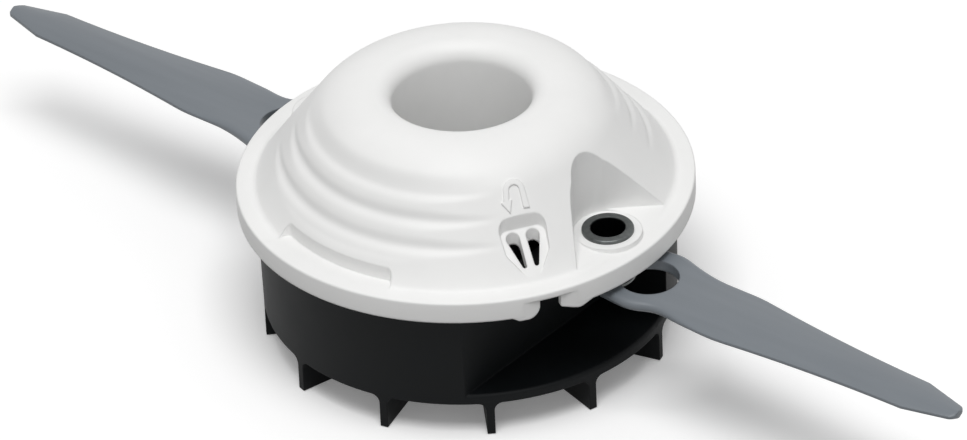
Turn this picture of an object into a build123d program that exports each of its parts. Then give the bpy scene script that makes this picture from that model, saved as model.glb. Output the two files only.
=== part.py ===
from build123d import *
import os
from math import cos, radians, sin, tan

# All sizes are in millimetres, and heights are above the surface that the fin tips stand on.
# X runs along the front blade. The whole head repeats after half a turn about Z.

# Cap: rim, skirt, glide dome and tunnel
rim_radius = 48.0
rim_height = 35.8
rim_edge_radius = 0.8
skirt_depth = 4.7
skirt_wall = 2.6
cap_wall = 2.4
dome_foot_radius = 44.0
dome_height = 22.0
dome_slope = 53.0
crown_radius = 15.0
tunnel_radius = 14.6
tunnel_lip_radius = 4.0
tunnel_depth = 36.0

# Ripples on each flank of the dome
ripple_count = 3
ripple_pitch = 3.37
ripple_outer_ridge_radius = 39.7
ripple_depth = 0.9
ripple_inset = 0.3
ripple_azimuth = -91.0
ripple_half_sweep = 56.0

# Pocket round each blade pivot
pivot_radius = 38.2
pocket_round = 7.3
pocket_turn = -4.0
pocket_half_angle = 45.0
pocket_boss_rise = 1.1
pocket_boss_margin = 0.7

# Bare label recess at the foot of the dome
label_azimuth = -91.0
label_sweep = 40.0
label_radius = 41.6
label_corner_radius = 1.5

# Line clamp: a shelf cut into the dome, with two tapering slots through it
clamp_azimuth = -31.8
clamp_low_radius = 43.0
clamp_slope = 35.0
clamp_length = 8.6
clamp_top_width = 10.0
clamp_low_width = 5.4
clamp_corner_radius = 1.6
slot_top_offset = 2.25
slot_low_offset = 1.2
slot_top_radius = 1.75
slot_low_radius = 0.6
slot_top_station = 6.2
slot_low_station = 1.6

# Notch in the skirt, between two tabs that hang below it
notch_azimuth = -28.0
notch_width = 5.8
notch_roof = 1.6
tab_width = 5.6
near_tab_drop = 0.5
far_tab_drop = 1.2
tab_corner_radius = 0.45

# Snap beads that hold the cap on the drum
bead_height = 0.9
bead_clearance = 0.15

# Body: drum, blade windows and hub
drum_radius = 44.0
drum_draft = 0.4
drum_wall = 2.2
floor_thickness = 2.2
window_wall_distance = 27.0
window_end_distance = 14.7
window_corner_radius = 4.0
ledge_edge_radius = 0.8
hub_wall = 2.4
hub_clearance = 0.3
hub_spigot = 3.0
hub_bottom = 2.0

# Fins under the drum
fin_count = 12
fin_first_azimuth = 15.0
fin_height = 7.6
fin_thickness = 1.7
fin_flare = 1.8

# Drive insert
insert_across_flats = 17.0
insert_length = 16.0
thread_bore_radius = 4.46
thread_mouth_chamfer = 0.8
tool_bore_radius = 6.5

# Pivot eyelet
eyelet_tube_radius = 4.1
eyelet_bore_radius = 3.55
eyelet_top_flange_radius = 5.9
eyelet_low_flange_radius = 5.6
eyelet_flange_thickness = 0.9
eyelet_flange_round = 0.4

# Blade with a keyhole eye
blade_gap = 1.6
blade_thickness = 2.6
blade_side_clearance = 0.3
pivot_clearance = 0.08
eye_end_radius = 9.2
eye_distance = 10.6
eye_hole_radius = 6.3
eye_radius = 11.0
neck_distance = 24.8
neck_half_width = 8.3
shoulder_distance = 36.0
shoulder_half_width = 8.4
taper_distance = 79.0
taper_half_width = 5.0
tip_distance = 90.0
tip_half_width = 2.0
eye_edge_thickness = 1.7
blade_edge_thickness = 0.7
tip_middle_thickness = 1.5

# Heights and radii that follow from the sizes above
skirt_bottom = rim_height - skirt_depth
rim_underside = rim_height - cap_wall
dome_top = rim_height + dome_height
skirt_inner_radius = rim_radius - skirt_wall
slope_rise = tan(radians(dome_slope))
inner_foot_radius = dome_foot_radius - cap_wall * (1 / cos(radians(dome_slope)) - 1) / slope_rise
tunnel_end = dome_top - tunnel_depth
boss_top = rim_height + pocket_boss_rise
boss_radius = eyelet_top_flange_radius + pocket_boss_margin
drum_bottom_radius = drum_radius - drum_draft
ledge_top = fin_height + floor_thickness
shoulder_radius = tunnel_radius + hub_wall
hub_top = tunnel_end + hub_spigot
blade_top = skirt_bottom - blade_gap
blade_bottom = blade_top - blade_thickness
blade_middle = (blade_top + blade_bottom) / 2
pivot = (pivot_radius, 0)
far = 2 * rim_radius


def polar(radius, azimuth):
    """Point in plan at a radius and an azimuth in degrees."""
    return (radius * cos(radians(azimuth)), radius * sin(radians(azimuth)))


def both_sides(shape):
    """The shape and its copy half a turn away."""
    return shape + shape.rotate(Axis.Z, 180)


def corner(sketch, x, y):
    """The vertex of a flat sketch nearest to a point."""
    return sketch.vertices().sort_by_distance((x, y, 0))[0]


def turned(sketch):
    """A profile drawn as (radius, height), turned about Z."""
    return revolve(Plane.XZ * sketch, Axis.Z)


def tube(outer, inner, low, high):
    """A straight ring about Z between two heights."""
    ring = Circle(outer) - Circle(inner)
    return extrude(Pos(0, 0, low) * ring, high - low)


def dome_profile(foot_radius, foot_height, crown):
    """Section of a cone with a rounded crown, from the axis outwards."""
    top_height = foot_height + dome_height
    top_radius = foot_radius - dome_height / slope_rise
    outline = Polyline((0, foot_height), (foot_radius, foot_height), (top_radius, top_height), (0, top_height), close=True)
    face = make_face(outline)
    return fillet(corner(face, top_radius, top_height), crown)


def rippled_cone():
    """A taller cone with waves down its flank, set back so that it trims only one side of the dome."""
    wave_reach = ripple_depth / sin(radians(dome_slope))
    set_back = (wave_reach + ripple_inset) / (1 - cos(radians(ripple_half_sweep)))
    spread = set_back - ripple_inset
    low_radius = dome_foot_radius + 4
    high_radius = 4
    pull = (ripple_depth * sin(radians(dome_slope)), ripple_depth * cos(radians(dome_slope)))

    def flank(radius):
        return (radius + spread, rim_height + (dome_foot_radius - radius) * slope_rise)

    wave = []
    for step in range(2 * ripple_count + 1):
        point = flank(ripple_outer_ridge_radius - step * ripple_pitch / 2)
        if step % 2:
            point = (point[0] - pull[0], point[1] - pull[1])
        wave.append(point)
    along = (-1, slope_rise)
    low = flank(low_radius)
    high = flank(high_radius)
    edges = [
        Line(low, wave[0]),
        Spline(*wave, tangents=[along, along]),
        Line(wave[-1], high),
        Line(high, (0, high[1])),
        Line((0, high[1]), (0, low[1])),
        Line((0, low[1]), low),
    ]
    back = polar(-set_back, ripple_azimuth)
    return Pos(*back) * turned(make_face(edges))


def pocket_outline(extra):
    """Plan of a pivot pocket: two straight walls, joined by a round about the pivot."""
    radius = pocket_round + extra
    walls = []
    for side in (1, -1):
        heading = pocket_turn + side * pocket_half_angle
        foot = Vector(*pivot) + Vector(*polar(radius, heading + side * 90))
        walls.append((foot, foot + Vector(*polar(rim_radius, heading))))
    apex = Vector(*pivot) + Vector(*polar(radius, pocket_turn + 180))
    edges = [
        Line(walls[0][1], walls[0][0]),
        ThreePointArc(walls[0][0], apex, walls[1][0]),
        Line(walls[1][0], walls[1][1]),
        Line(walls[1][1], walls[0][1]),
    ]
    return make_face(edges)


def pocket_space(extra):
    """Space above a pocket's floor, grown by a wall for the inside of the cap."""
    return extrude(Pos(0, 0, rim_height - extra) * pocket_outline(extra), far)


def label_space(extra):
    """Space in front of a label, grown by a wall for the inside of the cap."""
    half = label_sweep / 2
    inner = label_radius - extra
    outer = rim_radius + extra
    side = extra
    left = label_azimuth - half
    right = label_azimuth + half
    slide = Vector(*polar(side, label_azimuth + 90))
    low_left = Vector(*polar(inner, left)) - slide
    low_right = Vector(*polar(inner, right)) + slide
    high_left = Vector(*polar(outer, left)) - slide
    high_right = Vector(*polar(outer, right)) + slide
    edges = [
        ThreePointArc(low_left, polar(inner, label_azimuth), low_right),
        Line(low_right, high_right),
        Line(high_right, high_left),
        Line(high_left, low_left),
    ]
    face = make_face(edges)
    inner_corners = [corner(face, low_left.X, low_left.Y), corner(face, low_right.X, low_right.Y)]
    face = fillet(inner_corners, label_corner_radius)
    return extrude(Pos(0, 0, rim_height - extra) * face, far)


def clamp_plane():
    """Shelf of the line clamp: its foot lies on the dome, and it rises less steeply than the dome does."""
    foot_height = rim_height + (dome_foot_radius - clamp_low_radius) * slope_rise
    out = Vector(*polar(1, clamp_azimuth))
    sideways = Vector(*polar(1, clamp_azimuth + 90))
    uphill = out * -cos(radians(clamp_slope)) + Vector(0, 0, sin(radians(clamp_slope)))
    foot = out * clamp_low_radius + Vector(0, 0, foot_height)
    return Plane(origin=foot, x_dir=-sideways, z_dir=(-sideways).cross(uphill))


def clamp_outline(extra):
    """Shield outline of the clamp's shelf."""
    low = clamp_low_width / 2 + extra
    high = clamp_top_width / 2 + extra
    reach = clamp_length + extra
    outline = Polyline((-low, -extra), (low, -extra), (high, reach), (-high, reach), close=True)
    face = make_face(outline)
    return fillet([corner(face, high, reach), corner(face, -high, reach)], clamp_corner_radius)


def clamp_space(extra):
    """Space above the clamp's shelf, with upright walls, grown by a wall for the inside of the cap."""
    shelf = Pos(0, 0, -extra) * clamp_plane() * clamp_outline(extra)
    return extrude(shelf, far, dir=(0, 0, 1))


def clamp_slots():
    """Two slots through the shelf that narrow downhill, where a line wedges."""
    slots = []
    for side in (1, -1):
        wide = Pos(side * slot_top_offset, slot_top_station) * Circle(slot_top_radius)
        narrow = Pos(side * slot_low_offset, slot_low_station) * Circle(slot_low_radius)
        drop = make_hull(wide.edges() + narrow.edges())
        slots.append(extrude(clamp_plane() * drop, 2 * cap_wall, dir=(0, 0, -1), both=True))
    return slots[0] + slots[1]


def notch_tabs():
    """Two rounded tabs below the skirt, one on each side of the notch."""
    face_plane = Plane(origin=(0, 0, skirt_bottom), x_dir=(*polar(1, notch_azimuth + 90), 0), z_dir=(*polar(1, notch_azimuth), 0))
    ring = tube(rim_radius, skirt_inner_radius, blade_top, skirt_bottom)
    tabs = []
    for side, drop in ((-1, near_tab_drop), (1, far_tab_drop)):
        middle = side * (notch_width + tab_width) / 2
        block = Pos(middle, -drop / 2) * RectangleRounded(tab_width, drop, min(tab_corner_radius, 0.45 * drop))
        square = Pos(middle, -drop / 4) * Rectangle(tab_width, drop / 2)
        tabs.append(extrude(face_plane * (block + square), far) & ring)
    return tabs[0] + tabs[1]


def notch_space():
    """The cut through the skirt between the tabs, under a thin roof."""
    top = rim_height - notch_roof
    height = top - blade_bottom
    middle = (*polar(rim_radius, notch_azimuth), blade_bottom + height / 2)
    return Pos(*middle) * Rot(0, 0, notch_azimuth) * Box(2.4 * skirt_wall, notch_width, height)


def make_cap():
    dome = turned(dome_profile(dome_foot_radius, rim_height, crown_radius))
    ripples = rippled_cone()
    dome = dome & ripples
    dome = dome & ripples.rotate(Axis.Z, 180)
    rim_sketch = make_face(
        Polyline((0, skirt_bottom), (rim_radius, skirt_bottom), (rim_radius, rim_height), (0, rim_height), close=True)
    )
    rim_sketch = fillet(corner(rim_sketch, rim_radius, rim_height), rim_edge_radius)
    outside = turned(rim_sketch) + dome
    outside -= both_sides(pocket_space(0) + label_space(0) + clamp_space(0))

    inside = turned(dome_profile(inner_foot_radius, rim_underside, crown_radius - cap_wall))
    inside -= both_sides(pocket_space(cap_wall) + label_space(cap_wall) + clamp_space(cap_wall))
    inside -= Pos(0, 0, dome_top / 2) * Cylinder(shoulder_radius, dome_top)
    inside += extrude(Pos(0, 0, skirt_bottom) * Circle(skirt_inner_radius), rim_underside - skirt_bottom)
    cap = outside - inside

    bead_inner = drum_radius + 2 * bead_clearance
    bead_top = skirt_bottom + bead_height
    bead = make_face(
        Polyline(
            (skirt_inner_radius, skirt_bottom),
            (skirt_inner_radius, bead_top),
            (bead_inner, bead_top - bead_height / 3),
            (bead_inner, bead_top - 2 * bead_height / 3),
            close=True,
        )
    )
    cap += turned(bead)
    cap += tube(shoulder_radius, tunnel_radius, tunnel_end, dome_top - tunnel_lip_radius)
    tunnel = make_face(
        [
            Line((0, tunnel_end), (tunnel_radius, tunnel_end)),
            Line((tunnel_radius, tunnel_end), (tunnel_radius, dome_top - tunnel_lip_radius)),
            RadiusArc(
                (tunnel_radius, dome_top - tunnel_lip_radius),
                (tunnel_radius + tunnel_lip_radius, dome_top),
                tunnel_lip_radius,
            ),
            Line((tunnel_radius + tunnel_lip_radius, dome_top), (tunnel_radius + tunnel_lip_radius, far)),
            Line((tunnel_radius + tunnel_lip_radius, far), (0, far)),
            Line((0, far), (0, tunnel_end)),
        ]
    )
    cap -= turned(tunnel)

    boss_bottom = blade_top + blade_side_clearance
    boss = extrude(Pos(*pivot, boss_bottom) * Circle(boss_radius), boss_top - boss_bottom)
    cap += both_sides(boss + notch_tabs())
    eyelet_hole = Pos(*pivot, rim_height) * Cylinder(eyelet_tube_radius, far)
    return cap - both_sides(eyelet_hole + clamp_slots() + notch_space())


def window_space(extra):
    """Space that a blade swings through, grown by a wall for the inside of the drum."""
    left = window_wall_distance - extra
    top = window_end_distance + extra
    outline = Polyline((left, top), (far, top), (far, -far), (left, -far), close=True)
    face = fillet(corner(make_face(outline), left, top), window_corner_radius + extra)
    return extrude(Pos(0, 0, ledge_top) * face, far)


def make_fin():
    """A radial vane that flares into the drum's floor."""
    half = fin_thickness / 2
    root = fin_height - fin_flare
    edges = [
        Line((-half, 0), (half, 0)),
        Line((half, 0), (half, root)),
        RadiusArc((half, root), (half + fin_flare, fin_height), fin_flare),
        Line((half + fin_flare, fin_height), (-half - fin_flare, fin_height)),
        RadiusArc((-half - fin_flare, fin_height), (-half, root), fin_flare),
        Line((-half, root), (-half, 0)),
    ]
    section = Plane.YZ * make_face(edges)
    vane = extrude(section, far)
    return vane & tube(drum_bottom_radius, shoulder_radius - hub_wall, 0, fin_height)


def make_body():
    bead_radius = skirt_inner_radius - bead_clearance
    bead_low = skirt_bottom + bead_height + bead_clearance
    outside = make_face(
        Polyline(
            (0, fin_height),
            (drum_bottom_radius, fin_height),
            (drum_radius, bead_low),
            (bead_radius, bead_low + bead_height / 3),
            (bead_radius, bead_low + 2 * bead_height / 3),
            (drum_radius, bead_low + bead_height),
            (drum_radius, rim_underside),
            (0, rim_underside),
            close=True,
        )
    )
    drum = turned(outside) - both_sides(window_space(0))
    lip = drum.edges().filter_by(GeomType.CIRCLE).filter_by_position(Axis.Z, ledge_top - 0.01, ledge_top + 0.01)
    drum = fillet([edge for edge in lip if edge.radius > window_wall_distance], ledge_edge_radius)

    inside = make_face(
        Polyline(
            (0, ledge_top),
            (drum_bottom_radius - drum_wall, ledge_top),
            (drum_radius - drum_wall, rim_underside),
            (0, rim_underside),
            close=True,
        )
    )
    cavity = turned(inside) - both_sides(window_space(drum_wall))
    cavity -= Pos(0, 0, rim_height / 2) * Cylinder(shoulder_radius, rim_height)
    body = drum - cavity
    body -= tube(shoulder_radius, tunnel_radius - hub_clearance, tunnel_end, far)
    body -= Pos(0, 0, hub_top + far / 2) * Cylinder(shoulder_radius, far)

    fin = make_fin()
    for index in range(fin_count):
        body += fin.rotate(Axis.Z, fin_first_azimuth + index * 360 / fin_count)
    body += extrude(Pos(0, 0, hub_bottom) * Circle(shoulder_radius), fin_height - hub_bottom)
    body -= make_insert_blank()
    return body - Pos(0, 0, rim_height) * Cylinder(tool_bore_radius, 2 * rim_height - 2 * hub_bottom - insert_length)


def make_insert_blank():
    hexagon = RegularPolygon(insert_across_flats / 2, 6, major_radius=False)
    return extrude(Pos(0, 0, hub_bottom) * hexagon, insert_length)


def make_insert():
    insert = make_insert_blank() - Pos(0, 0, hub_bottom + insert_length / 2) * Cylinder(thread_bore_radius, insert_length)
    mouth = insert.edges().filter_by(GeomType.CIRCLE).sort_by(Axis.Z)
    return chamfer([mouth[0], mouth[-1]], thread_mouth_chamfer)


def make_eyelet():
    """A flanged tube: its upper flange sits on the pocket's boss, and its lower one carries the blade."""
    low_top = blade_bottom - blade_side_clearance
    low = low_top - eyelet_flange_thickness
    high = boss_top + eyelet_flange_thickness
    section = make_face(
        Polyline(
            (eyelet_bore_radius, low),
            (eyelet_low_flange_radius, low),
            (eyelet_low_flange_radius, low_top),
            (eyelet_tube_radius, low_top),
            (eyelet_tube_radius, boss_top),
            (eyelet_top_flange_radius, boss_top),
            (eyelet_top_flange_radius, high),
            (eyelet_bore_radius, high),
            close=True,
        )
    )
    rounded = [
        corner(section, eyelet_low_flange_radius, low),
        corner(section, eyelet_top_flange_radius, high),
        corner(section, eyelet_bore_radius, high),
    ]
    return Pos(*pivot, 0) * turned(fillet(rounded, eyelet_flange_round))


def blade_outline():
    """Plan of a blade from its pivot: a round eye, a neck, a long taper and a blunt tip."""
    neck = (neck_distance, neck_half_width)
    shoulder = (shoulder_distance, shoulder_half_width)
    taper = (taper_distance, taper_half_width)
    tip = (tip_distance, tip_half_width)
    eye_leave = (eye_distance + eye_radius * cos(radians(60)), eye_radius * sin(radians(60)))
    slope = (taper_half_width - shoulder_half_width) / (taper_distance - shoulder_distance)
    eye = make_hull(Circle(eye_end_radius).edges() + (Pos(eye_distance, 0) * Circle(eye_radius)).edges())
    upper = Spline(eye_leave, neck, shoulder, tangents=[(sin(radians(60)), -cos(radians(60))), (1, slope)])
    edges = [
        Line((eye_distance, 0), (eye_leave[0], eye_leave[1])),
        upper,
        Line(shoulder, taper),
        Line(taper, tip),
        Line(tip, (tip[0], 0)),
        Line((tip[0], 0), (eye_distance, 0)),
    ]
    half = make_face(edges)
    return eye + half + mirror(half, Plane.XZ)


def blade_section(distance, half_width, middle, edge):
    """Lens section across a blade: thick in the middle, thin at both edges."""
    edges = [
        ThreePointArc((-half_width, edge / 2), (0, middle / 2), (half_width, edge / 2)),
        Line((half_width, edge / 2), (half_width, -edge / 2)),
        ThreePointArc((half_width, -edge / 2), (0, -middle / 2), (-half_width, -edge / 2)),
        Line((-half_width, -edge / 2), (-half_width, edge / 2)),
    ]
    return Plane(origin=(distance, 0, 0), x_dir=(0, 1, 0), z_dir=(1, 0, 0)) * make_face(edges)


def make_blade():
    eye_start = -eye_end_radius
    eye_finish = eye_distance + eye_radius / 2
    stations = [
        (eye_start, eye_radius, blade_thickness, eye_edge_thickness),
        (eye_finish, eye_radius, blade_thickness, eye_edge_thickness),
        (shoulder_distance, shoulder_half_width, blade_thickness, blade_edge_thickness),
        (taper_distance, taper_half_width, blade_thickness, blade_edge_thickness),
        (tip_distance, taper_half_width, tip_middle_thickness, blade_edge_thickness),
    ]
    sections = [blade_section(*station) for station in stations]
    lens = loft(sections, ruled=True)
    blade = extrude(blade_outline(), blade_thickness, both=True) & lens
    pin_hole = pivot_fit_radius()
    keyhole = Pos(eye_distance, 0) * Circle(eye_hole_radius)
    keyhole += make_face(
        Polyline((0, pin_hole), (eye_distance, pin_hole), (eye_distance, -pin_hole), (0, -pin_hole), close=True)
    )
    keyhole += Circle(pin_hole)
    blade -= extrude(keyhole, blade_thickness, both=True)
    return Pos(*pivot, blade_middle) * blade


def pivot_fit_radius():
    return eyelet_tube_radius + pivot_clearance


os.makedirs("parts", exist_ok=True)
export_step(make_cap(), "parts/cap.step")
export_step(make_body(), "parts/body.step")
export_step(make_insert(), "parts/drive_insert.step")
front_eyelet = make_eyelet()
front_blade = make_blade()
export_step(front_eyelet, "parts/pivot_eyelet_front.step")
export_step(front_eyelet.rotate(Axis.Z, 180), "parts/pivot_eyelet_rear.step")
export_step(front_blade, "parts/blade_front.step")
export_step(front_blade.rotate(Axis.Z, 180), "parts/blade_rear.step")
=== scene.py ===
"""Looks for a grass trimmer head: white glide cap, black finned drum and two grey swinging blades."""

import math

import bmesh
import bpy
from mathutils import Matrix, Vector


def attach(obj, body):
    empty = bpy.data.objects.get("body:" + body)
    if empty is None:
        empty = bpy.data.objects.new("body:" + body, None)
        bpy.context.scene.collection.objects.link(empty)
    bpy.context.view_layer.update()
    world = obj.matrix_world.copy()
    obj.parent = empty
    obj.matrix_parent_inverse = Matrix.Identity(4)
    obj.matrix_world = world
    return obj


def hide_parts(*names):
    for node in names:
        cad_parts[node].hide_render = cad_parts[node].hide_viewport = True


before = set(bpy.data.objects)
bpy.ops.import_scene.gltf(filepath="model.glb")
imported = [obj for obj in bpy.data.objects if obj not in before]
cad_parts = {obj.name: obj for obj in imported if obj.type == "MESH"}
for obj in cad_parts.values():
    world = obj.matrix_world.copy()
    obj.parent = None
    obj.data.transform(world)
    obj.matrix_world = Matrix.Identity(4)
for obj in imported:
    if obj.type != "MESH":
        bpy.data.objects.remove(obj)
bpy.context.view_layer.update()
scene = bpy.context.scene

# Lengths are in millimetres until a piece is put in its place
MM = 0.001
# Small overlap that keeps two cuts from sharing a face
SKIN = 0.02
# Further than the part reaches, for tools that cut right through
FAR = 100.0
# Distance of the blades' pivots from the head's axis
PIVOT_RADIUS = 38.2


# Materials

NYLON_IOR = 1.5
GRAIN_DEPTH = 0.1
RIVET_BORE = 3.55
# Distances from the rivet's axis between which the black of painted shade in the bore turns to the steel's
# grey
BORE_SHADE_FROM, BORE_SHADE_TO = 3.6, 3.9
TURNING_MARKS = 0.63


def linear(hex_code):
    """An sRGB hex colour as linear red, green, blue and alpha."""
    values = [int(hex_code[i : i + 2], 16) / 255 for i in (1, 3, 5)]
    return (*[v / 12.92 if v <= 0.04045 else ((v + 0.055) / 1.055) ** 2.4 for v in values], 1.0)


def per_metre(size):
    """Scale of a noise whose features have a size in millimetres."""
    return 1 / (size * MM)


def add(tree, kind, inputs=None, **settings):
    """Adds a node with its settings, and links or sets its inputs."""
    node = tree.nodes.new(kind)
    for name, value in settings.items():
        setattr(node, name, value)
    for socket, value in (inputs or {}).items():
        if isinstance(value, bpy.types.NodeSocket):
            tree.links.new(value, node.inputs[socket])
        else:
            node.inputs[socket].default_value = value
    return node


def new_material(name):
    """A node material with its shader and its Object coordinates."""
    material = bpy.data.materials.new(name)
    material.use_nodes = True
    tree = material.node_tree
    shader = tree.nodes["Principled BSDF"]
    place = add(tree, "ShaderNodeTexCoord").outputs["Object"]
    return material, tree, shader, place


def shades(tree, pattern, spread, dark, light):
    """A colour that drifts between two shades with a pattern, over a spread of its values."""
    share = add(tree, "ShaderNodeMapRange", {"Value": pattern, "From Min": spread[0], "From Max": spread[1]})
    colours = {"Factor": share.outputs["Result"], "A": linear(dark), "B": linear(light)}
    return add(tree, "ShaderNodeMix", colours, data_type="RGBA").outputs["Result"]


def moulded_skin(tree, shader, place, grain, strength, edge):
    """The tool's eroded grain, coarse enough to show, and the soft edges of a nylon moulding."""
    noise = add(tree, "ShaderNodeTexNoise", {"Vector": place, "Scale": per_metre(grain), "Detail": 2.0})
    soft = add(tree, "ShaderNodeBevel", {"Radius": edge * MM}, samples=6)
    relief = {"Height": noise.outputs["Fac"], "Strength": strength, "Distance": GRAIN_DEPTH * MM}
    bump = add(tree, "ShaderNodeBump", relief | {"Normal": soft.outputs["Normal"]})
    tree.links.new(bump.outputs["Normal"], shader.inputs["Normal"])
    shader.inputs["IOR"].default_value = NYLON_IOR


def moulded_cap_white():
    """White nylon, injection moulded in a finely eroded tool: soft sheen and faint flow clouds."""
    material, tree, shader, place = new_material("moulded_cap_white")
    flow = {"Vector": place, "Scale": per_metre(16.7), "Detail": 3.0, "Roughness": 0.55}
    clouds = add(tree, "ShaderNodeTexNoise", flow).outputs["Fac"]
    tree.links.new(shades(tree, clouds, (0.3, 0.7), "#efefee", "#f3f3f2"), shader.inputs["Base Color"])
    sheen = add(tree, "ShaderNodeMapRange", {"Value": clouds, "To Min": 0.46, "To Max": 0.56})
    tree.links.new(sheen.outputs["Result"], shader.inputs["Roughness"])
    moulded_skin(tree, shader, place, grain=0.25, strength=0.06, edge=0.5)
    return material


def moulded_drum_black():
    """Black glass-filled nylon: near-black with a dull satin skin."""
    material, tree, shader, place = new_material("moulded_drum_black")
    flow = {"Vector": place, "Scale": per_metre(11.1), "Detail": 4.0, "Roughness": 0.6}
    clouds = add(tree, "ShaderNodeTexNoise", flow).outputs["Fac"]
    tree.links.new(shades(tree, clouds, (0.3, 0.75), "#050708", "#0a0d0f"), shader.inputs["Base Color"])
    sheen = add(tree, "ShaderNodeMapRange", {"Value": clouds, "To Min": 0.5, "To Max": 0.62})
    tree.links.new(sheen.outputs["Result"], shader.inputs["Roughness"])
    shader.inputs["Specular IOR Level"].default_value = 0.14
    moulded_skin(tree, shader, place, grain=0.333, strength=0.12, edge=0.4)
    return material


def moulded_blade_grey():
    """Grey impact-modified nylon: even colour, fine flow lines that run out along the blade."""
    material, tree, shader, place = new_material("moulded_blade_grey")
    drawn_out = add(tree, "ShaderNodeMapping", {"Vector": place, "Scale": (0.12, 1.0, 1.0)}).outputs["Vector"]
    flow = {"Vector": drawn_out, "Scale": per_metre(3.85), "Detail": 4.0}
    lines = add(tree, "ShaderNodeTexNoise", flow).outputs["Fac"]
    tree.links.new(shades(tree, lines, (0.3, 0.7), "#6f757b", "#757b81"), shader.inputs["Base Color"])
    shader.inputs["Roughness"].default_value = 0.38
    moulded_skin(tree, shader, place, grain=0.286, strength=0.08, edge=0.5)
    return material


def plated_rivet_steel():
    """Drawn grey steel, with painted shade that turns it black down the bore; the flanges keep the grey."""
    material, tree, shader, place = new_material("plated_rivet_steel")
    spots = {"Vector": place, "Scale": per_metre(1.11), "Detail": 3.0}
    mottle = add(tree, "ShaderNodeTexNoise", spots).outputs["Fac"]
    grey = shades(tree, mottle, (0.3, 0.7), "#575a5a", "#686b6a")
    point = add(tree, "ShaderNodeSeparateXYZ", {"Vector": place}).outputs
    along = add(tree, "ShaderNodeMath", {0: point["X"]}, operation="ABSOLUTE").outputs[0]
    along = add(tree, "ShaderNodeMath", {0: along, 1: PIVOT_RADIUS * MM}, operation="SUBTRACT").outputs[0]
    from_axis = add(tree, "ShaderNodeCombineXYZ", {"X": along, "Y": point["Y"]}).outputs[0]
    reach = add(tree, "ShaderNodeVectorMath", {0: from_axis}, operation="LENGTH").outputs["Value"]
    # Painted shade: the bore is painted black, and the steel shows grey from the flanges outwards
    painted_bore_shade = add(
        tree,
        "ShaderNodeMapRange",
        {"Value": reach, "From Min": BORE_SHADE_FROM * MM, "From Max": BORE_SHADE_TO * MM},
        interpolation_type="SMOOTHSTEP",
    )
    colours = {"Factor": painted_bore_shade.outputs["Result"], "A": linear("#08090a"), "B": grey}
    skin = add(tree, "ShaderNodeMix", colours, data_type="RGBA")
    tree.links.new(skin.outputs["Result"], shader.inputs["Base Color"])
    sheen = add(tree, "ShaderNodeMapRange", {"Value": mottle, "To Min": 0.3, "To Max": 0.45})
    tree.links.new(sheen.outputs["Result"], shader.inputs["Roughness"])
    shader.inputs["Metallic"].default_value = 0.85
    return material


def turned_insert_steel():
    """Free-cutting steel, turned on a lathe: bright grey with fine rings round the axis."""
    material, tree, shader, place = new_material("turned_insert_steel")
    # A wave of scale 1 repeats every 2 pi / 20 metres
    fineness = 2 * math.pi / 20 * per_metre(TURNING_MARKS)
    marks = {"Vector": place, "Scale": fineness, "Distortion": 0.6, "Detail": 1.0}
    rings = add(tree, "ShaderNodeTexWave", marks, wave_type="RINGS", rings_direction="Z")
    sheen = add(tree, "ShaderNodeMapRange", {"Value": rings.outputs["Fac"], "To Min": 0.28, "To Max": 0.42})
    tree.links.new(sheen.outputs["Result"], shader.inputs["Roughness"])
    shader.inputs["Base Color"].default_value = linear("#a3a4a6")
    shader.inputs["Metallic"].default_value = 1.0
    return material


cap_white = moulded_cap_white()
drum_black = moulded_drum_black()
blade_grey = moulded_blade_grey()
rivet_steel = plated_rivet_steel()
insert_steel = turned_insert_steel()

# The drum is the one node whose solid is shown as it is
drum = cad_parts["body"].data
drum.materials.clear()
drum.materials.append(drum_black)


# Shapes

CORNER_STEPS = 14
# Two points closer than this are one
SAME = 1e-3


def everything(shape):
    """All the geometry of a bmesh, as operators take it."""
    return shape.verts[:] + shape.edges[:] + shape.faces[:]


def verts_of(geometry):
    """The vertices among an operator's results."""
    return [v for v in geometry if isinstance(v, bmesh.types.BMVert)]


def edges_of(geometry):
    """The edges among an operator's results."""
    return [e for e in geometry if isinstance(e, bmesh.types.BMEdge)]


def face_outwards(shape):
    """Turns the faces of a closed shape outwards."""
    bmesh.ops.recalc_face_normals(shape, faces=shape.faces[:])
    return shape


def turn_round(shape, angle, verts):
    """Turns vertices about the head's axis."""
    bmesh.ops.rotate(shape, verts=verts, matrix=Matrix.Rotation(angle, 3, "Z"))


def raise_up(shape, height):
    """Makes a flat shape a solid of a height."""
    grown = bmesh.ops.extrude_face_region(shape, geom=shape.faces[:])["geom"]
    bmesh.ops.translate(shape, verts=verts_of(grown), vec=(0, 0, height))


def closed_loop(shape, points):
    """Vertices at points, and the edges that join them in a ring."""
    verts = [shape.verts.new(p) for p in points]
    return verts, [shape.edges.new(pair) for pair in zip(verts, verts[1:] + verts[:1])]


def ease(value, low, high):
    """A soft step from 0 to 1 between two values."""
    part = max(0.0, min(1.0, (value - low) / (high - low)))
    return part * part * (3 - 2 * part)


def heading(degrees):
    """A direction in the plan."""
    return Vector((math.cos(math.radians(degrees)), math.sin(math.radians(degrees))))


def arc(middle, radius, first, last, count):
    """Points of an arc between two angles in degrees."""
    turns = [heading(first + (last - first) * i / count) * radius for i in range(count + 1)]
    return [(middle[0] + t.x, middle[1] + t.y) for t in turns]


def turned(section, steps):
    """A closed section of radius and height, turned once about the axis."""
    shape = bmesh.new()
    verts, edges = closed_loop(shape, [(r, 0, z) for r, z in section])
    bmesh.ops.spin(
        shape,
        geom=verts + edges,
        cent=(0, 0, 0),
        axis=(0, 0, 1),
        angle=2 * math.pi,
        steps=steps,
        use_merge=True,
    )
    bmesh.ops.remove_doubles(shape, verts=shape.verts[:], dist=1e-5)
    return face_outwards(shape)


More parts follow.
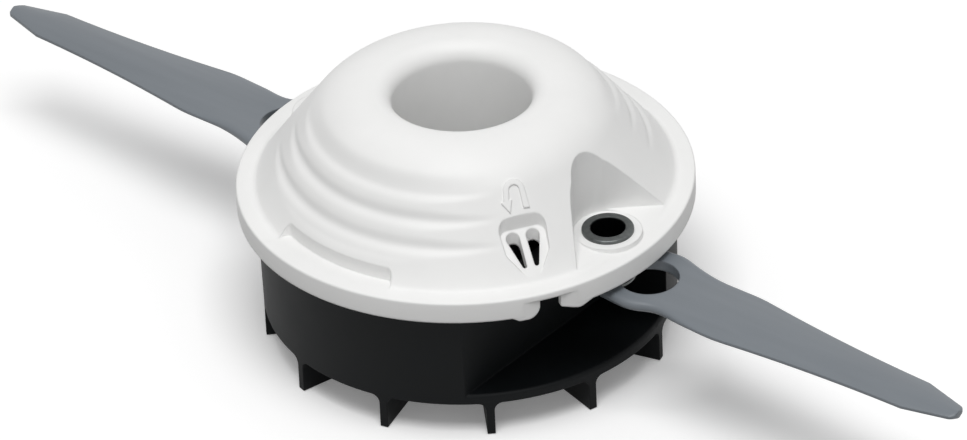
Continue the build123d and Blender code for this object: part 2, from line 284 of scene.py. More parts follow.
def round_upright(shape, spot, reach, segments):
    """Rounds the upright edge over a point of the plan, by a reach along both its sides."""
    edges = [e for e in shape.edges if all((v.co.xy - spot).length < SAME for v in e.verts)]
    bmesh.ops.bevel(
        shape,
        geom=edges,
        offset=reach,
        offset_type="OFFSET",
        affect="EDGES",
        segments=segments,
        profile=0.5,
        material=-1,
    )


def prism(outline, low, high, rounds):
    """An upright prism from an outline, with the corners that are named in rounds made round."""
    shape = bmesh.new()
    shape.faces.new([shape.verts.new((x, y, low)) for x, y in outline])
    raise_up(shape, high - low)
    for index, radius in rounds.items():
        spot = Vector(outline[index])
        before = Vector(outline[index - 1]) - spot
        after = Vector(outline[(index + 1) % len(outline)]) - spot
        round_upright(shape, spot, radius / math.tan(before.angle(after) / 2), CORNER_STEPS)
    return face_outwards(shape)


def plug(low_radius, high_radius, low, high, segments):
    """A round or tapering plug on the head's axis."""
    shape = bmesh.new()
    bmesh.ops.create_cone(
        shape, cap_ends=True, segments=segments, radius1=low_radius, radius2=high_radius, depth=high - low
    )
    bmesh.ops.translate(shape, verts=shape.verts[:], vec=(0, 0, (low + high) / 2))
    return shape


# Pieces


def finish_piece(name, shape, material):
    """Turns a bmesh into an object with its finish."""
    mesh = bpy.data.meshes.new(name)
    shape.to_mesh(mesh)
    shape.free()
    mesh.materials.append(material)
    piece = bpy.data.objects.new(name, mesh)
    scene.collection.objects.link(piece)
    return piece


def gather(name, shapes):
    """One tool from several shapes and their copies half a turn away."""
    mesh = bpy.data.meshes.new(name)
    whole = bmesh.new()
    for shape in shapes:
        shape.to_mesh(mesh)
        shape.free()
        whole.from_mesh(mesh)
    copies = bmesh.ops.duplicate(whole, geom=everything(whole))["geom"]
    turn_round(whole, math.pi, verts_of(copies))
    whole.to_mesh(mesh)
    whole.free()
    tool = bpy.data.objects.new(name, mesh)
    scene.collection.objects.link(tool)
    return tool


def carve(target, tools):
    """Joins or cuts a target with tools, in order, and takes the tools away."""
    for operation, tool in tools:
        step = target.modifiers.new(tool.name, "BOOLEAN")
        step.operation = operation
        step.object = tool
        step.solver = "EXACT"
    graph = bpy.context.evaluated_depsgraph_get()
    shaped = bpy.data.meshes.new_from_object(target.evaluated_get(graph))
    target.modifiers.clear()
    target.data = shaped
    for _, tool in tools:
        bpy.data.objects.remove(tool)


def put_in_place(piece, offset=(0, 0, 0), turn=0.0):
    """Moves a piece's mesh to its place on the head and takes it from millimetres to metres."""
    shape = bmesh.new()
    shape.from_mesh(piece.data)
    bmesh.ops.remove_doubles(shape, verts=shape.verts[:], dist=1e-4)
    bmesh.ops.translate(shape, verts=shape.verts[:], vec=offset)
    turn_round(shape, turn, shape.verts[:])
    bmesh.ops.scale(shape, verts=shape.verts[:], vec=(MM, MM, MM))
    shape.to_mesh(piece.data)
    shape.free()


def smooth(piece, crease):
    """Smooth shading, up to a crease angle in degrees."""
    piece.data.shade_smooth()
    piece.data.set_sharp_from_angle(angle=math.radians(crease))


# Cap moulding, as turned: rim, dome and tunnel

RIM_HEIGHT = 35.8
RIM_RADIUS = 48.0
RIM_EDGE = 0.4
SKIRT_BOTTOM = 31.1
SKIRT_INNER = 45.4
CAP_WALL = 2.4
DOME_FOOT = 44.0
DOME_HEIGHT = 22.0
DOME_SLOPE = math.radians(53.0)
DOME_STEPS = 64
CROWN_RADIUS = 15.0
# Distances up the dome's slope from its foot, at which the crown's round starts and ends
CROWN_START = DOME_HEIGHT / math.sin(DOME_SLOPE) - CROWN_RADIUS * math.tan(DOME_SLOPE / 2)
CROWN_END = CROWN_START + CROWN_RADIUS * DOME_SLOPE
COVE_RADIUS = 1.6
COVE_REACH = COVE_RADIUS * math.tan(DOME_SLOPE / 2)
TUNNEL_RADIUS = 14.6
TUNNEL_LIP = 4.0
TUNNEL_END = 21.8
TUBE_RADIUS = 17.0
TURN_STEPS = 240
# How far the hollow's tool runs out below the skirt
HOLLOW_RUNOUT = 0.5

RIPPLE_AZIMUTHS = (math.radians(-93.0), math.radians(87.0))
RIPPLE_START = DOME_FOOT - 3.7
RIPPLE_PITCH = 3.37
RIPPLE_END = RIPPLE_START - 2.5 * RIPPLE_PITCH
RIPPLE_DEPTH = 0.6
RIPPLE_POWER = 3.4
RIPPLE_FOOT_RISE = 0.39
RIPPLE_CROWN_FADE = 3.4
# Depth of the flat that the ripples lie in, and how quickly it runs out to both sides
RIPPLE_FLAT = 0.35
RIPPLE_SIDE_FADE = 2.58
# Softness of the line where the flat leaves the dome, and the height at which it is cut off
RIPPLE_BLEND = 0.05
RIPPLE_CUT = 0.02


def dome_section(uphill):
    """Radius, height and slope of the plain dome at a distance up its slope from its foot."""
    straight = min(uphill, CROWN_START)
    slope = DOME_SLOPE - (uphill - straight) / CROWN_RADIUS
    radius = DOME_FOOT - straight * math.cos(DOME_SLOPE)
    radius -= CROWN_RADIUS * (math.sin(DOME_SLOPE) - math.sin(slope))
    height = RIM_HEIGHT + straight * math.sin(DOME_SLOPE)
    height += CROWN_RADIUS * (math.cos(slope) - math.cos(DOME_SLOPE))
    return radius, height, slope


def ripple_depth(radius, slope, azimuth):
    """How far the dome sinks at a ripple: three grooves that fade out to both sides and at the crown."""
    fade = 1.0
    if radius > RIPPLE_START:
        groove = -RIPPLE_FOOT_RISE * (radius - RIPPLE_START)
    elif radius > RIPPLE_END:
        wave = abs(math.sin(math.pi * (RIPPLE_START - radius) / RIPPLE_PITCH))
        groove = RIPPLE_DEPTH * wave**RIPPLE_POWER
    else:
        fade = 1 - ease(RIPPLE_END - radius, 0.0, RIPPLE_CROWN_FADE)
        groove = RIPPLE_DEPTH * fade
    deepest = 0.0
    for middle in RIPPLE_AZIMUTHS:
        spread = 1 - math.cos(azimuth - middle)
        depth = groove + (RIPPLE_FLAT - RIPPLE_SIDE_FADE * spread) * math.sin(slope) * fade
        deepest = max(deepest, (depth + math.hypot(depth, RIPPLE_BLEND)) / 2 - RIPPLE_CUT)
    return deepest


def sink_ripples(shape):
    """Presses the ripples into the vertices that lie on the plain dome."""
    crown_top = dome_section(CROWN_END)[0]
    off_dome, crown_margin = 0.05, 0.1
    for vert in shape.verts:
        radius = vert.co.xy.length
        uphill = (DOME_FOOT - radius) / math.cos(DOME_SLOPE)
        if uphill > CROWN_START:
            bend = (radius - crown_top) / CROWN_RADIUS
            uphill = CROWN_END - CROWN_RADIUS * math.asin(max(0.0, min(1.0, bend)))
        if not COVE_REACH < uphill < CROWN_END - crown_margin:
            continue
        _, height, slope = dome_section(uphill)
        if abs(vert.co.z - height) > off_dome:
            continue
        depth = ripple_depth(radius, slope, math.atan2(vert.co.y, vert.co.x))
        outward = vert.co.xy.normalized() * math.sin(slope)
        vert.co -= depth * Vector((outward.x, outward.y, math.cos(slope)))


def dome_solid():
    """The cap's outside, solid, with its ripples and its tunnel."""
    slope = math.degrees(DOME_SLOPE)
    top = RIM_HEIGHT + DOME_HEIGHT
    climb = [COVE_REACH + (CROWN_END - COVE_REACH) * i / DOME_STEPS for i in range(1, DOME_STEPS + 1)]
    section = [(TUNNEL_RADIUS, TUNNEL_END), (TUBE_RADIUS, TUNNEL_END), (TUBE_RADIUS, SKIRT_BOTTOM)]
    section += [(RIM_RADIUS, SKIRT_BOTTOM)]
    section += arc((RIM_RADIUS - RIM_EDGE, RIM_HEIGHT - RIM_EDGE), RIM_EDGE, 0, 90, 4)
    section += arc((DOME_FOOT + COVE_REACH, RIM_HEIGHT + COVE_RADIUS), COVE_RADIUS, -90, -90 - slope, 6)
    section += [dome_section(uphill)[:2] for uphill in climb]
    section += arc((TUNNEL_RADIUS + TUNNEL_LIP, top - TUNNEL_LIP), TUNNEL_LIP, 90, 180, 12)
    shape = turned(section, TURN_STEPS)
    sink_ripples(shape)
    return shape


def hollow_solid():
    """The space under the dome, one wall inside it."""
    low, high = SKIRT_BOTTOM - HOLLOW_RUNOUT, RIM_HEIGHT - CAP_WALL
    top = high + DOME_HEIGHT
    foot = DOME_FOOT - CAP_WALL * (1 / math.cos(DOME_SLOPE) - 1) / math.tan(DOME_SLOPE)
    bend = CROWN_RADIUS - CAP_WALL
    middle = (foot - DOME_HEIGHT / math.tan(DOME_SLOPE) - bend * math.tan(DOME_SLOPE / 2), top - bend)
    inner = TUBE_RADIUS + SKIN
    section = [(inner, low), (SKIRT_INNER, low), (SKIRT_INNER, high), (foot, high)]
    section += arc(middle, bend, 90 - math.degrees(DOME_SLOPE), 90, 24)
    section += [(inner, top)]
    return turned(section, TURN_STEPS)


# Pivot pockets and label recesses

# Headings of the pocket's walls in degrees, and their distances from the pivot
POCKET_FAR_WALL, POCKET_FAR_REACH = 50.0, 7.5
POCKET_NEAR_WALL, POCKET_NEAR_REACH = -44.5, 7.8
POCKET_ROUND = 11.5
POCKET_RISE = math.radians(7.7)
BOSS_FOOT, BOSS_TOP, BOSS_RADIUS = 29.8, 36.9, 7.15
BORE_FOOT, BORE_RADIUS = 20.0, 4.1
OVER_DOME = 60.0
LABEL_AZIMUTH = math.radians(-91.0)
LABEL_HALF = math.radians(20.0)
LABEL_INNER, LABEL_OUTER = 41.6, RIM_RADIUS + 2
LABEL_CORNER = 1.5


def pivot_pocket(grown):
    """Space of a pivot pocket: two walls that meet in a round, over a floor that rises inwards."""
    pivot = Vector((PIVOT_RADIUS, 0))
    far_wall, near_wall = heading(POCKET_FAR_WALL), heading(POCKET_NEAR_WALL)
    far_point = pivot + (POCKET_FAR_REACH + grown) * heading(POCKET_FAR_WALL + 90)
    near_point = pivot - (POCKET_NEAR_REACH + grown) * heading(POCKET_NEAR_WALL + 90)
    along = (near_point - far_point).cross(near_wall) / far_wall.cross(near_wall)
    back = far_point + along * far_wall
    low = RIM_HEIGHT - grown - SKIN
    outline = [back, back + FAR * near_wall, back + FAR * far_wall]
    shape = prism(outline, low, low + FAR, {0: POCKET_ROUND + grown})
    bmesh.ops.bisect_plane(shape, geom=everything(shape), plane_co=(DOME_FOOT, 0, 0), plane_no=(1, 0, 0))
    for vert in shape.verts:
        if vert.co.z < low + 1 and vert.co.x < DOME_FOOT:
            vert.co.z += (DOME_FOOT - vert.co.x) * math.tan(POCKET_RISE)
    return shape


def pivot_post(radius, low, high):
    """An upright round on the pivot's axis."""
    shape = plug(radius, radius, low, high, 72)
    bmesh.ops.translate(shape, verts=shape.verts[:], vec=(PIVOT_RADIUS, 0, 0))
    return shape


def label_recess(grown):
    """Space in front of the bare label: a sector of the dome's foot with rounded inner corners."""
    half = LABEL_HALF + grown / DOME_FOOT
    inner = LABEL_INNER - grown
    start = heading(math.degrees(-half))
    low = RIM_HEIGHT - grown - SKIN
    shape = bmesh.new()
    side = [shape.verts.new((*(start * radius), low)) for radius in (inner, LABEL_OUTER)]
    swept = side + [shape.edges.new(side)]
    bmesh.ops.spin(shape, geom=swept, cent=(0, 0, 0), axis=(0, 0, 1), angle=2 * half, steps=24)
    raise_up(shape, FAR)
    for angle in (-half, half):
        round_upright(shape, heading(math.degrees(angle)) * inner, LABEL_CORNER, 6)
    face_outwards(shape)
    turn_round(shape, LABEL_AZIMUTH, shape.verts[:])
    return shape


# Line clamps

CLAMP_AZIMUTH = -31.2
CLAMP_SLOPE = math.radians(42.0)
# How far the shelf's foot lies inside the dome's foot, and the depth of the clamp's back below the shelf
CLAMP_INSET = 1.0
CLAMP_DEPTH = 3.0
# One side of the shield-shaped shelf, across and uphill, and the rounds of all its corners
SHELF_SIDE = ((1.4, 0.0), (4.65, 4.4), (5.25, 10.4))
SHELF_ROUNDS = {0: 1.2, 1: 1.2, 2: 2.0, 3: 2.0, 4: 1.2, 5: 1.2}
# Place and radius of a slot's two ends, and how far it reaches up and down
SLOT_ENDS = (((2.15, 8.5), 1.45), ((1.3, 2.5), 0.5))
SLOT_REACH = 9.0


def to_clamp(shape, drop):
    """Lays a shape on the clamp's shelf: across it, up it and upright."""
    out = Vector((*heading(CLAMP_AZIMUTH), 0))
    aside = Vector((*heading(CLAMP_AZIMUTH + 90), 0))
    upright = Vector((0, 0, 1))
    uphill = upright * math.sin(CLAMP_SLOPE) - out * math.cos(CLAMP_SLOPE)
    foot = out * (DOME_FOOT - CLAMP_INSET)
    foot += upright * (RIM_HEIGHT + CLAMP_INSET * math.tan(DOME_SLOPE) - drop)
    for vert in shape.verts:
        vert.co = foot + aside * vert.co.x + uphill * vert.co.y + upright * vert.co.z
    return face_outwards(shape)


def clamp_recess(grown, drop):
    """Space over the line clamp's shield-shaped shelf."""
    (low_x, low_y), (mid_x, mid_y), (top_x, top_y) = SHELF_SIDE
    right = [(low_x + grown, low_y - grown), (mid_x + grown, mid_y), (top_x + grown, top_y + grown)]
    outline = right + [(-x, y) for x, y in reversed(right)]
    return to_clamp(prism(outline, 0, FAR, SHELF_ROUNDS), drop)


def clamp_slot(side):
    """A slot that narrows downhill, where a line wedges."""
    shape = bmesh.new()
    for (across, uphill), radius in SLOT_ENDS:
        for level in (-SLOT_REACH, SLOT_REACH):
            place = Matrix.Translation((side * across, uphill, level))
            bmesh.ops.create_circle(shape, segments=32, radius=radius, matrix=place)
    bmesh.ops.convex_hull(shape, input=shape.verts[:])
    bmesh.ops.dissolve_limit(shape, angle_limit=0.01, verts=shape.verts[:], edges=shape.edges[:])
    return to_clamp(shape, 0)


# Notch in the skirt and its two tabs

NOTCH_AZIMUTH = math.radians(-29.0)
NOTCH_SIZE = (7.2, 11.8, 7.0)
NOTCH_ROOF = 1.5
TAB_START = 2.3
TAB_WALL = 1.2
TAB_INSET = 0.45
TAB_INSET_END = 5.4
# Each tab's lower edge, along the rim and over the skirt's edge, and the rounds of its corners
TAB_FEET = {
    1: (((TAB_START, 0.2), (6.6, -1.15), (9.6, 0.0)), {1: 0.4, 2: 2.0}),
    -1: (((TAB_START, -0.85), (6.9, -0.85), (8.4, 0.0)), {1: 2.6, 2: 1.0}),
}


def skirt_tab(side):
    """A thin tab beside the notch, which hangs below the skirt and bends inwards at its end."""
    foot, rounds = TAB_FEET[side]
    high = RIM_HEIGHT - NOTCH_ROOF
    outline = [(TAB_START, high), *((x, SKIRT_BOTTOM + y) for x, y in foot), (foot[-1][0], high)]
    shape = prism(outline, RIM_RADIUS - TAB_WALL, RIM_RADIUS - SKIN, rounds)
    for station in range(3, 10):
        bmesh.ops.bisect_plane(shape, geom=everything(shape), plane_co=(station, 0, 0), plane_no=(1, 0, 0))
    for vert in shape.verts:
        azimuth = NOTCH_AZIMUTH + side * vert.co.x / RIM_RADIUS
        radius = vert.co.z - TAB_INSET * (1 - ease(vert.co.x, TAB_START, TAB_INSET_END))
        vert.co = (radius * math.cos(azimuth), radius * math.sin(azimuth), vert.co.y)
    return face_outwards(shape)


def skirt_notch():
    """The cut through the skirt under a thin roof."""
    shape = bmesh.new()
    bmesh.ops.create_cube(shape, size=1.0)
    bmesh.ops.scale(shape, verts=shape.verts[:], vec=NOTCH_SIZE)
    height = RIM_HEIGHT - NOTCH_ROOF - NOTCH_SIZE[2] / 2
    bmesh.ops.translate(shape, verts=shape.verts[:], vec=(RIM_RADIUS, 0, height))
    turn_round(shape, NOTCH_AZIMUTH, shape.verts[:])
    return shape


def cap_moulding():
    """The glide cap as one moulding, with softly fading ripples, sloping pockets and backed clamps."""
    hollow = finish_piece("cap_hollow", hollow_solid(), cap_white)
    pocket_walls = [pivot_pocket(CAP_WALL), label_recess(CAP_WALL)]
    clamp_walls = [clamp_recess(CAP_WALL, CLAMP_DEPTH)]
    carve(
        hollow,
        [
            ("DIFFERENCE", gather("wall_pockets", pocket_walls)),
            ("DIFFERENCE", gather("wall_clamps", clamp_walls)),
        ],
    )
    cap = finish_piece("cap_moulding", dome_solid(), cap_white)
    recesses = [pivot_pocket(0), label_recess(0), clamp_recess(0, 0), skirt_notch()]
    added = [skirt_tab(1), skirt_tab(-1), pivot_post(BOSS_RADIUS, BOSS_FOOT, BOSS_TOP)]
    seats = [pivot_post(BOSS_RADIUS, BOSS_TOP, OVER_DOME)]
    bores = [clamp_slot(1), clamp_slot(-1), pivot_post(BORE_RADIUS, BORE_FOOT, OVER_DOME)]
    carve(
        cap,
        [
            ("DIFFERENCE", gather("recesses", recesses)),
            ("DIFFERENCE", hollow),
            ("UNION", gather("tabs_and_bosses", added)),
            ("DIFFERENCE", gather("flange_seats", seats)),
            ("DIFFERENCE", gather("bores", bores)),
        ],
    )
    put_in_place(cap)
    smooth(cap, 28.0)
    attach(cap, "head")
    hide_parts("cap")


# Rivets

RIVET_TUBE = 4.08
RIVET_BEND = 0.35
RIVET_HIGH, RIVET_HIGH_FLANGE = BOSS_TOP + 0.8, 5.45
RIVET_LOW, RIVET_LOW_TOP, RIVET_LOW_FLANGE = 25.8, 26.6, 5.6


def rivet(name, node, turn):
    """A hollow rivet: a drawn tube with a flange turned over at each end."""
    bend = RIVET_BEND
    section = [(RIVET_TUBE, RIVET_LOW_TOP), (RIVET_TUBE, BOSS_TOP), (RIVET_HIGH_FLANGE, BOSS_TOP)]
    section += arc((RIVET_HIGH_FLANGE - bend, RIVET_HIGH - bend), bend, 0, 90, 5)
    section += arc((RIVET_BORE + bend, RIVET_HIGH - bend), bend, 90, 180, 5)
    section += [(RIVET_BORE, RIVET_LOW)]
    section += arc((RIVET_LOW_FLANGE - bend, RIVET_LOW + bend), bend, -90, 0, 5)
    section += [(RIVET_LOW_FLANGE, RIVET_LOW_TOP)]
    piece = finish_piece(name, turned(section, 72), rivet_steel)
    put_in_place(piece, (PIVOT_RADIUS, 0, 0), turn)
    smooth(piece, 35.0)
    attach(piece, "head")
    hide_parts(node)


# Blades, laid along X from the pivot

BLADE_MIDDLE = 28.3
BLADE_HALF = 1.2
BLADE_EDGE = 0.3
EYE_END = 9.2
EYE_PLACE = 10.6
EYE_HOLE = 6.3
RIVET_SLOT = 4.18
KEYHOLE_REACH = 4.0
NECK_PLACE = 24.8
# Distance from the pivot and half width, at the start and end of the taper and at the tip
SHOULDER, TAPER, TIP = (36.0, 8.3), (79.0, 5.0), (90.0, 2.0)
TIP_HALF = 0.8
TIP_ROUND = 1.2
EDGE_HOLLOW = 0.6
# For each edge: the eye's round, the angle at which the edge leaves it, the neck's half width and its slope
BLADE_EDGES = {1: (10.8, math.radians(72.0), 8.5, 0.02), -1: (9.9, math.radians(60.0), 8.25, 0.05)}
# Between these distances the full round about the eye turns to a lens
LENS_START, LENS_FULL = 15.0, 34.0
# Where the spacing of the sections changes from the eye's to the neck's
EYE_SECTIONS = 15.5
SECTION_STEPS = 22


def bow(x, start, finish, leave, arrive):
    """A cubic between two points with given slopes."""
    span = finish[0] - start[0]
    t = (x - start[0]) / span
    ends = start[1] * (1 + 2 * t) * (1 - t) ** 2 + finish[1] * (3 - 2 * t) * t * t
    return ends + span * (leave * t * (1 - t) ** 2 - arrive * (1 - t) * t * t)


def blade_half_width(x, edge):
    """How far an edge is from the blade's middle line: a round eye, a neck, a hollow taper, a blunt tip."""
    eye_round, angle, neck, neck_slope = BLADE_EDGES[edge]
    eye_leave = EYE_PLACE + eye_round * math.cos(angle)
    span = TAPER[0] - SHOULDER[0]
    fall = (TAPER[1] - SHOULDER[1]) / span
    if x <= 0:
        return math.sqrt(max(0.0, EYE_END**2 - x * x))
    if x <= EYE_PLACE:
        return EYE_END + (eye_round - EYE_END) * x / EYE_PLACE
    if x <= eye_leave:
        return math.sqrt(eye_round**2 - (x - EYE_PLACE) ** 2)
    if x <= NECK_PLACE:
        leave = (eye_leave, eye_round * math.sin(angle))
        return bow(x, leave, (NECK_PLACE, neck), -1 / math.tan(angle), neck_slope)
    if x <= SHOULDER[0]:
        return bow(x, (NECK_PLACE, neck), SHOULDER, neck_slope, fall - 4 * EDGE_HOLLOW / span)
    if x <= TAPER[0]:
        part = (x - SHOULDER[0]) / span
        return SHOULDER[1] + fall * span * part - 4 * EDGE_HOLLOW * part * (1 - part)
    straight = TAPER[1] + (TIP[1] - TAPER[1]) * (x - TAPER[0]) / (TIP[0] - TAPER[0])
    blunt = max(0.0, x - (TIP[0] - TIP_ROUND)) / TIP_ROUND
    return straight - TIP_ROUND * (1 - math.sqrt(1 - min(blunt, 1.0) ** 2))


def blade_half_thickness(x, aside, half_width):
    """Half the thickness: a full round about the eye, and a lens with thin edges beyond the neck."""
    over = max(0.0, abs(aside) - (half_width - BLADE_HALF))
    plate = math.sqrt(max(0.0, BLADE_HALF**2 - over**2))
    middle = BLADE_HALF + (TIP_HALF - BLADE_HALF) * ease(x, TAPER[0], TIP[0])
    lens = BLADE_EDGE + (middle - BLADE_EDGE) * (1 - (aside / half_width) ** 2)
    share = ease(x, LENS_START, LENS_FULL)
    return plate * (1 - share) + lens * share


def blade_stations():
    """Distances from the pivot at which the blade's section is drawn, closer where it turns."""
    blunt_start = TIP[0] - TIP_ROUND
    stretches = (
        (0.0, EYE_SECTIONS, 12),
        (EYE_SECTIONS, SHOULDER[0], 16),
        (SHOULDER[0], TAPER[0], 12),
        (TAPER[0], blunt_start, 5),
    )
    stations = [-EYE_END * math.cos(math.radians(a)) for a in range(3, 90, 6)]
    for start, end, count in stretches:
        stations += [start + (end - start) * i / count for i in range(count)]
    return stations + [blunt_start + TIP_ROUND * math.sin(math.radians(a)) for a in range(0, 91, 15)]


def blade_solid():
    """A blade joined from its sections."""
    shape = bmesh.new()
    loops = []
    for x in blade_stations():
        upper = []
        for i in range(SECTION_STEPS + 1):
            share = math.cos(math.pi * i / SECTION_STEPS)
            half_width = blade_half_width(x, 1 if share > 0 else -1)
            aside = half_width * share
            upper.append((x, aside, blade_half_thickness(x, aside, half_width)))
        lower = [(x, y, -z) for x, y, z in reversed(upper)]
        loops.append(closed_loop(shape, upper + lower)[1])
    for near, beyond in zip(loops, loops[1:]):
        bmesh.ops.bridge_loops(shape, edges=near + beyond)
    bmesh.ops.holes_fill(shape, edges=loops[0] + loops[-1], sides=0)
    bmesh.ops.remove_doubles(shape, verts=shape.verts[:], dist=SAME)
    return face_outwards(shape)


def keyhole():
    """The blade's hole: a wide eye that narrows to a slot and ends at the rivet."""
    turn = math.degrees(math.asin(RIVET_SLOT / EYE_HOLE))
    outline = arc((EYE_PLACE, 0), EYE_HOLE, 180 + turn, 540 - turn, 56)
    outline += arc((0, 0), RIVET_SLOT, 90, 270, 32)
    return prism(outline, -KEYHOLE_REACH, KEYHOLE_REACH, {})


def swing_blade(name, node, body, turn):
    """A swinging blade with its keyhole."""
    blade = finish_piece(name, blade_solid(), blade_grey)
    carve(blade, [("DIFFERENCE", finish_piece("keyhole", keyhole(), blade_grey))])
    put_in_place(blade, (PIVOT_RADIUS, 0, BLADE_MIDDLE), turn)
    smooth(blade, 32.0)
    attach(blade, body)
    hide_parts(node)


# Threaded insert

INSERT_LOW, INSERT_HIGH = 2.0, 18.0
INSERT_HALF = 8.5
MOUTH_FLARE = 0.8
BORE_RUNOUT = 1.0
THREAD_ROOT, THREAD_CREST = 5.0, 4.46
THREAD_PITCH = 1.0
THREAD_START = INSERT_LOW + 1.0
THREAD_TURNS, THREAD_STEPS = 14, 28
# Half widths of the ridge at the thread's root and crest
RIDGE_ROOT, RIDGE_CREST = 0.44, 0.06


def thread_ridge():
    """The ridge of the thread, wound up the bore."""
    shape = bmesh.new()
    root = THREAD_ROOT + SKIN
    wedge = [(root, -RIDGE_ROOT), (THREAD_CREST, -RIDGE_CREST)]
    wedge += [(r, -z) for r, z in reversed(wedge)]
    verts, edges = closed_loop(shape, [(r, 0, THREAD_START + z) for r, z in wedge])
    last = bmesh.ops.spin(
        shape,
        geom=verts + edges,
        cent=(0, 0, 0),
        axis=(0, 0, 1),
        dvec=(0, 0, THREAD_PITCH / THREAD_STEPS),
        angle=2 * math.pi * THREAD_TURNS,
        steps=THREAD_TURNS * THREAD_STEPS,
    )["geom_last"]
    bmesh.ops.holes_fill(shape, edges=edges + edges_of(last), sides=0)
    return face_outwards(shape)


def threaded_insert():
    """The hexagonal steel insert, bored and threaded for the drive shaft."""
    reach = INSERT_HALF / math.cos(math.radians(30.0))
    corners = [heading(60.0 * i) * reach for i in range(6)]
    insert = finish_piece("threaded_insert", prism(corners, INSERT_LOW, INSERT_HIGH, {}), insert_steel)
    wide = THREAD_ROOT + 2 * MOUTH_FLARE
    cuts = {
        "bore": (THREAD_ROOT, THREAD_ROOT, INSERT_LOW - BORE_RUNOUT, INSERT_HIGH + BORE_RUNOUT),
        "low_mouth": (wide, THREAD_ROOT, INSERT_LOW - MOUTH_FLARE, INSERT_LOW + MOUTH_FLARE),
        "high_mouth": (THREAD_ROOT, wide, INSERT_HIGH - MOUTH_FLARE, INSERT_HIGH + MOUTH_FLARE),
    }
    tools = [finish_piece(name, plug(*sizes, 64), insert_steel) for name, sizes in cuts.items()]
    carve(insert, [("DIFFERENCE", tool) for tool in tools])
    ridge = finish_piece("thread_ridge", thread_ridge(), insert_steel)
    for piece in (insert, ridge):
        put_in_place(piece)
        smooth(piece, 32.0)
        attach(piece, "head")
    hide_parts("drive_insert")


# Turn signs, drawn as distance aside from their middle line and uphill from the dome's foot

SIGN_AZIMUTH = math.radians(-31.8)
SIGN_RELIEF = 0.3
SIGN_ROOT = 0.15
SIGN_LEG = ((1.43, 15.7), (2.81, 15.5))
SIGN_BEND = Vector((0.3, 19.7, -SIGN_ROOT))
SIGN_BEND_SIDES = (1.4, 2.6)
SIGN_NECK = ((-2.38, 17.65), (-1.2, 17.8))
SIGN_HEAD = ((-2.98, 17.5), (-1.53, 15.1), (-0.55, 17.9))


def on_dome(across, uphill, lift):
    """Point on the dome beside the sign's middle line, lifted off the surface, in metres."""
    radius, height, slope = dome_section(uphill)
    radius += lift * math.sin(slope)
    azimuth = SIGN_AZIMUTH + across / radius
    side = Vector((math.cos(azimuth), math.sin(azimuth))) * radius
    return Vector((*side, height + lift * math.cos(slope))) * MM


def turn_sign(name, turn):
    """A raised arrow that bends back on itself, moulded on the dome above a line clamp."""
    sign = bmesh.new()
    leg = [sign.verts.new((*spot, -SIGN_ROOT)) for spot in SIGN_LEG]
    grown = bmesh.ops.extrude_edge_only(sign, edges=[sign.edges.new(leg)])["geom"]
    bend_start = sorted(verts_of(grown), key=lambda v: v.co.x)
    for vert, x in zip(bend_start, SIGN_BEND_SIDES):
        vert.co = (x, SIGN_BEND.y, -SIGN_ROOT)
    bend_edge = [e for e in edges_of(grown) if set(e.verts) == set(bend_start)]
    swept = bend_start + bend_edge
    spun = bmesh.ops.spin(
        sign, geom=swept, cent=SIGN_BEND, axis=(0, 0, 1), angle=math.pi, steps=14
    )["geom_last"]
    grown = bmesh.ops.extrude_edge_only(sign, edges=edges_of(spun))["geom"]
    neck = sorted(verts_of(grown), key=lambda v: v.co.x)
    for vert, spot in zip(neck, SIGN_NECK):
        vert.co = (*spot, -SIGN_ROOT)
    head = [sign.verts.new((*spot, -SIGN_ROOT)) for spot in SIGN_HEAD]
    sign.faces.new((neck[0], *head, neck[1]))
    raise_up(sign, SIGN_ROOT + SIGN_RELIEF)
    face_outwards(sign)
    for vert in sign.verts:
        vert.co = on_dome(*vert.co)
    turn_round(sign, turn, sign.verts[:])
    piece = finish_piece(name, sign, cap_white)
    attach(piece, "head")


cap_moulding()
threaded_insert()
rivet("rivet_front", "pivot_eyelet_front", 0.0)
rivet("rivet_rear", "pivot_eyelet_rear", math.pi)
swing_blade("swing_blade_front", "blade_front", "front_blade", 0.0)
swing_blade("swing_blade_rear", "blade_rear", "rear_blade", math.pi)
turn_sign("turn_sign_front", 0.0)
turn_sign("turn_sign_rear", math.pi)


# Floor, surround and lamp, in metres

FLOOR_HALF = 3.0
FLOOR_DROP = 0.0002
FLOOR_LIFT = 0.16
SKY_LIGHT = 0.42
KEY_PLACE, KEY_AIM = Vector((0.27, -0.34, 1.24)), Vector((0, 0, 0.03))
KEY_SIZE, KEY_POWER = 0.7, 9.8


def seen_rays(tree):
    """1 for rays that show the surround, straight or in a gloss, and 0 for rays that light the part."""
    ray = add(tree, "ShaderNodeLightPath").outputs
    seen = ray["Is Camera Ray"]
    for kind in ("Is Glossy Ray", "Is Transmission Ray"):
        seen = add(tree, "ShaderNodeMath", {0: seen, 1: ray[kind]}, operation="MAXIMUM").outputs[0]
    return seen


def studio_floor():
    """A pale floor: white to the eye, and grey in what it throws back at the part."""
    material = bpy.data.materials.new("studio_floor")
    material.use_nodes = True
    tree = material.node_tree
    tree.nodes.clear()
    seen = seen_rays(tree)
    colours = {"Factor": seen, "A": linear("#8a8a8a"), "B": linear("#ffffff")}
    shade = add(tree, "ShaderNodeMix", colours, data_type="RGBA")
    paint = add(tree, "ShaderNodeBsdfDiffuse", {"Color": shade.outputs["Result"]})
    lift = add(tree, "ShaderNodeMath", {0: seen, 1: FLOOR_LIFT}, operation="MULTIPLY")
    glow = add(tree, "ShaderNodeEmission", {"Strength": lift.outputs[0]})
    both = add(tree, "ShaderNodeAddShader", {0: paint.outputs[0], 1: glow.outputs[0]})
    add(tree, "ShaderNodeOutputMaterial", {"Surface": both.outputs[0]})
    sheet = bmesh.new()
    bmesh.ops.create_grid(sheet, x_segments=1, y_segments=1, size=FLOOR_HALF)
    floor = finish_piece("studio_floor", sheet, material)
    floor.location.z = -FLOOR_DROP


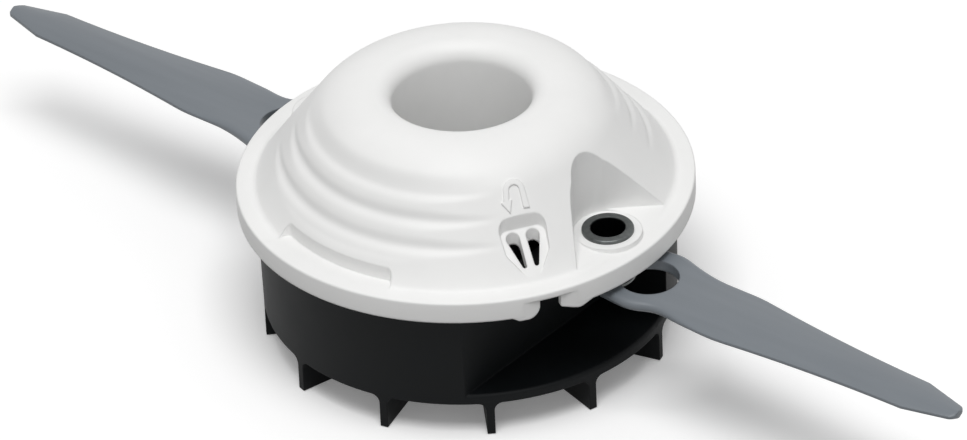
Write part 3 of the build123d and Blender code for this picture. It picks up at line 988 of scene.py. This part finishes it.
def studio_sky():
    """An even white surround: full white where it is seen, softer as a light."""
    world = bpy.data.worlds.new("studio_sky")
    scene.world = world
    world.use_nodes = True
    tree = world.node_tree
    strength = add(tree, "ShaderNodeMapRange", {"Value": seen_rays(tree), "To Min": SKY_LIGHT, "To Max": 1.0})
    surround = tree.nodes["Background"]
    surround.inputs["Color"].default_value = (1.0, 1.0, 1.0, 1.0)
    tree.links.new(strength.outputs["Result"], surround.inputs["Strength"])


def key_light():
    """A square softbox, high in front of the part."""
    data = bpy.data.lights.new("key_light", "AREA")
    data.size = KEY_SIZE
    data.energy = KEY_POWER
    lamp = bpy.data.objects.new("key_light", data)
    scene.collection.objects.link(lamp)
    lamp.location = KEY_PLACE
    lamp.rotation_euler = (KEY_AIM - KEY_PLACE).to_track_quat("-Z", "Y").to_euler()


# Camera, fitted to the photograph

CAMERA_TURN = math.radians(41.0)
CAMERA_TILT = 0.59156
CAMERA_LEAN = -0.045501
CAMERA_AIM = Vector((3.335, 0, -11.836))
CAMERA_DISTANCE = 1675.82
LENS_PIXELS = 8000
PHOTO_WIDTH = 967
SENSOR_WIDTH = 36.0


def photo_camera():
    """The photograph's camera: a long lens, 34 degrees above the part and 41 degrees round it."""
    turn = Matrix.Rotation(CAMERA_TURN, 3, "Z")
    away = Vector((0, math.cos(CAMERA_TILT), -math.sin(CAMERA_TILT)))
    above = Vector((0, math.sin(CAMERA_TILT), math.cos(CAMERA_TILT)))
    across = Vector((1, 0, 0))
    right = across * math.cos(CAMERA_LEAN) + above * math.sin(CAMERA_LEAN)
    up = above * math.cos(CAMERA_LEAN) - across * math.sin(CAMERA_LEAN)
    data = bpy.data.cameras.new("photo_camera")
    data.sensor_width = SENSOR_WIDTH
    data.lens = LENS_PIXELS * SENSOR_WIDTH / PHOTO_WIDTH
    data.clip_start = 0.1
    data.clip_end = 20.0
    camera = bpy.data.objects.new("photo_camera", data)
    scene.collection.objects.link(camera)
    axes = Matrix((turn @ right, turn @ up, turn @ -away)).transposed()
    spot = (turn @ (CAMERA_AIM - away * CAMERA_DISTANCE) + Vector((0, 0, RIM_HEIGHT))) * MM
    camera.matrix_world = Matrix.Translation(spot) @ axes.to_4x4()
    scene.camera = camera


studio_floor()
studio_sky()
key_light()
photo_camera()

scene.view_settings.view_transform = "Standard"
